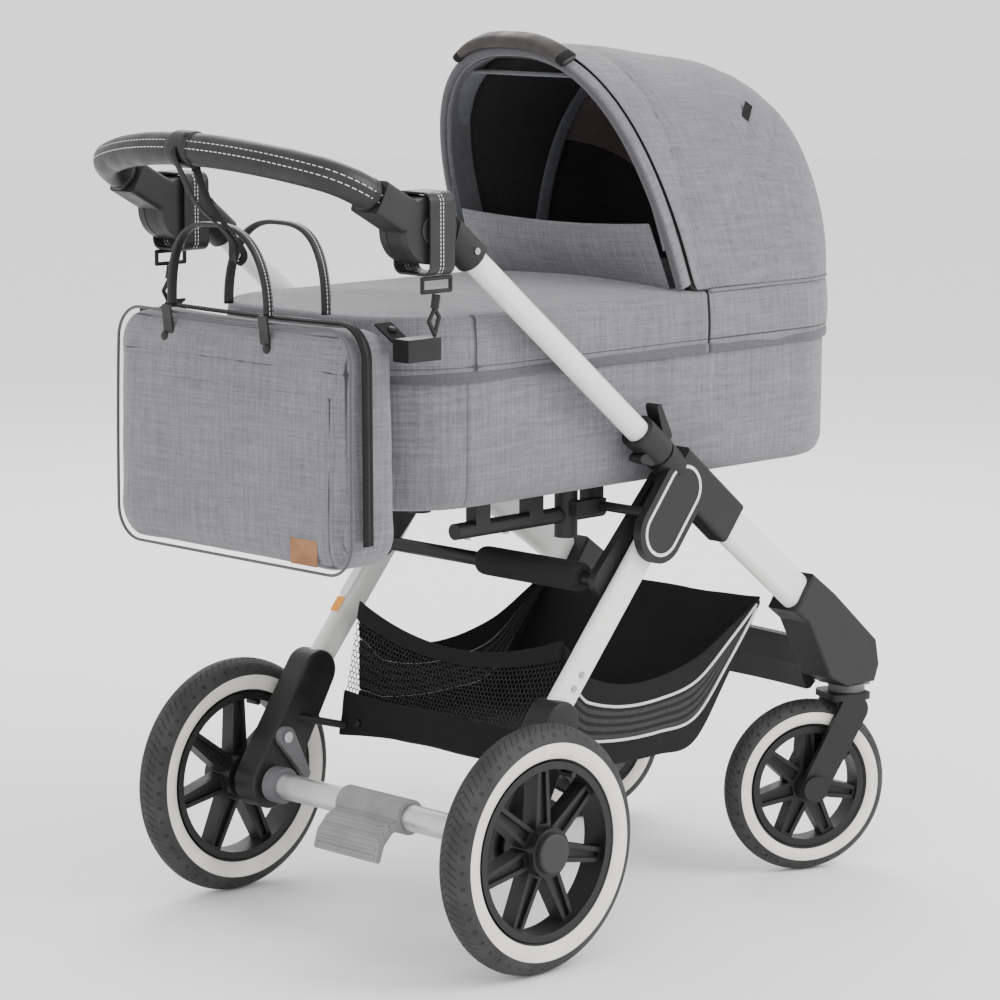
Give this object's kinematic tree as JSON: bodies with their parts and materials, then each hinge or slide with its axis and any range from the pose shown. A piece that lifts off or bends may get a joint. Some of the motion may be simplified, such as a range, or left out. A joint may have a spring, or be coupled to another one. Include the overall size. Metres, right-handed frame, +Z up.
{
  "type": "baby stroller",
  "caption": "Folding baby stroller with a hooded carrycot, swivelling front wheels, air tyres, an adjustable handlebar, a mesh basket and a hanging bag.",
  "frame": {"origin": "on the ground, on the centre plane, under the middle of the stroller's length", "axes": "+X forward to the swivel wheels, +Y to the left, +Z up"},
  "size_m": [1.0105, 0.606, 1.0944],
  "materials": {
    "white_tube": "satin off-white paint",
    "black_plastic": "fine-grained black",
    "dark_cap": "satin dark grey",
    "grey_plastic": "satin grey",
    "bright_trim": "bright satin",
    "axle_silver": "satin anodised",
    "black_metal": "satin black",
    "screw_steel": "plain steel",
    "tyre_rubber": "matte, with white side rings",
    "foam": "soft closed-cell foam",
    "melange": "grey melange weave",
    "mattress_cloth": "light cotton",
    "black_fabric": "black cloth and mesh",
    "black_leather": "fine-grained imitation leather"
  },
  "bodies": {
    "chassis": {"front_legs": "white_tube", "push_tubes": "white_tube", "hub_housings": "black_plastic", "hub_rings": "bright_trim", "hub_badges": "dark_cap", "front_knees": "black_plastic", "knee_fittings": "grey_plastic", "front_cross_bow": "black_plastic", "front_bow_tread": "grey_plastic", "cot_rails": "black_metal", "cot_adaptors": "black_plastic", "frame_screws": "screw_steel", "knuckle_bases": "black_plastic", "basket": "black_fabric"},
    "rear_frame": {"rear_legs": "white_tube", "link_arms": "black_metal", "cross_bar": "black_metal", "cross_bar_foam": "foam", "rear_housings": "black_plastic", "rear_axle": "axle_silver", "axle_clamps": "black_plastic", "basket_stays": "black_metal", "rear_screws": "screw_steel"},
    "handle": {"handle_knuckles": "black_plastic", "handlebar": "black_leather", "wrist_strap": "black_fabric"},
    "brake": {"brake_pedal": "grey_plastic"},
    "cot": {"cot_tub": "melange", "cot_mattress": "mattress_cloth", "cot_apron": "melange", "wind_flap": "melange", "hood_canopy": "melange"},
    "hood": {"hood_bow": "melange", "hood_handle": "black_leather"},
    "bag": {"bag_shell": "melange", "bag_loops": "black_leather", "bag_straps": "black_leather", "bag_hardware": "black_metal"},
    "rear_wheel_left": {"rear_tyre_left": "tyre_rubber", "rear_rim_left": "black_plastic", "rear_cap_left": "dark_cap"},
    "caster_left": {"fork_left": "black_plastic", "front_axle_left": "black_plastic"},
    "front_wheel_left": {"front_tyre_left": "tyre_rubber", "front_rim_left": "black_plastic"},
    "lock_ring_left": {"lock_ring_left": "grey_plastic"},
    "handle_button_left": {"handle_button_left": "dark_cap"},
    "fold_collar_left": {"fold_collar_left": "black_plastic"},
    "release_lever_left": {"release_lever_left": "grey_plastic"},
    "rear_wheel_right": {"rear_tyre_right": "tyre_rubber", "rear_rim_right": "black_plastic", "rear_cap_right": "dark_cap"},
    "caster_right": {"fork_right": "black_plastic", "front_axle_right": "black_plastic"},
    "front_wheel_right": {"front_tyre_right": "tyre_rubber", "front_rim_right": "black_plastic"},
    "lock_ring_right": {"lock_ring_right": "grey_plastic"},
    "handle_button_right": {"handle_button_right": "dark_cap"},
    "fold_collar_right": {"fold_collar_right": "black_plastic"},
    "release_lever_right": {"release_lever_right": "grey_plastic"}
  },
  "joints": [
    {"name": "frame_fold", "type": "hinge", "parent": "chassis", "child": "rear_frame", "pos_m": [0.099, 0, 0.545], "axis": [0, -1, 0], "range_deg": [0, 35], "deforming": ["basket"]},
    {"name": "handle_tilt", "type": "hinge", "parent": "chassis", "child": "handle", "pos_m": [-0.327, 0, 0.885], "axis": [0, 1, 0], "range_deg": [-20, 15]},
    {"name": "brake_press", "type": "hinge", "parent": "rear_frame", "child": "brake", "pos_m": [-0.1933, 0, 0.15], "axis": [0, -1, 0], "range_deg": [0, 20]},
    {"name": "cot_lift", "type": "slide", "parent": "chassis", "child": "cot", "axis": [0, 0, 1], "range_m": [0, 0.35]},
    {"name": "hood_fold", "type": "hinge", "parent": "cot", "child": "hood", "pos_m": [0.17, 0, 0.786], "axis": [0, 1, 0], "range_deg": [0, 60], "deforming": ["hood_canopy"]},
    {"name": "bag_swing", "type": "hinge", "parent": "chassis", "child": "bag", "pos_m": [-0.327, 0, 0.885], "axis": [0, 1, 0], "range_deg": [0, 20]},
    {"name": "rear_spin_left", "type": "hinge", "parent": "rear_frame", "child": "rear_wheel_left", "pos_m": [-0.1933, 0.272, 0.15], "axis": [0, 1, 0], "continuous": true},
    {"name": "swivel_left", "type": "hinge", "parent": "chassis", "child": "caster_left", "pos_m": [0.4536, 0.2, 0.236], "axis": [0, 0, 1], "continuous": true},
    {"name": "front_spin_left", "type": "hinge", "parent": "caster_left", "child": "front_wheel_left", "pos_m": [0.39837, 0.22344, 0.113], "axis": [0.3907, 0.9205, 0], "continuous": true},
    {"name": "swivel_lock_left", "type": "hinge", "parent": "chassis", "child": "lock_ring_left", "pos_m": [0.4536, 0.2, 0.239], "axis": [0, 0, 1], "range_deg": [0, 35]},
    {"name": "button_press_left", "type": "slide", "parent": "handle", "child": "handle_button_left", "axis": [0, -1, 0], "range_m": [0, 0.004], "stiffness_N_per_m": 800},
    {"name": "collar_slide_left", "type": "slide", "parent": "chassis", "child": "fold_collar_left", "axis": [-0.7738, 0, 0.6334], "range_m": [0, 0.015], "stiffness_N_per_m": 600},
    {"name": "wheel_release_left", "type": "hinge", "parent": "rear_frame", "child": "release_lever_left", "pos_m": [-0.176, 0.193, 0.208], "axis": [0, 1, 0], "range_deg": [0, 15], "stiffness_Nm_per_rad": 1.5},
    {"name": "rear_spin_right", "type": "hinge", "parent": "rear_frame", "child": "rear_wheel_right", "pos_m": [-0.1933, -0.272, 0.15], "axis": [0, 1, 0], "continuous": true},
    {"name": "swivel_right", "type": "hinge", "parent": "chassis", "child": "caster_right", "pos_m": [0.4536, -0.2, 0.236], "axis": [0, 0, 1], "continuous": true},
    {"name": "front_spin_right", "type": "hinge", "parent": "caster_right", "child": "front_wheel_right", "pos_m": [0.39837, -0.17656, 0.113], "axis": [0.3907, 0.9205, 0], "continuous": true},
    {"name": "swivel_lock_right", "type": "hinge", "parent": "chassis", "child": "lock_ring_right", "pos_m": [0.4536, -0.2, 0.239], "axis": [0, 0, -1], "range_deg": [0, 35]},
    {"name": "button_press_right", "type": "slide", "parent": "handle", "child": "handle_button_right", "axis": [0, 1, 0], "range_m": [0, 0.004], "stiffness_N_per_m": 800},
    {"name": "collar_slide_right", "type": "slide", "parent": "chassis", "child": "fold_collar_right", "axis": [-0.7738, 0, 0.6334], "range_m": [0, 0.015], "stiffness_N_per_m": 600},
    {"name": "wheel_release_right", "type": "hinge", "parent": "rear_frame", "child": "release_lever_right", "pos_m": [-0.176, -0.193, 0.208], "axis": [0, 1, 0], "range_deg": [0, 15], "stiffness_Nm_per_rad": 1.5}
  ]
}
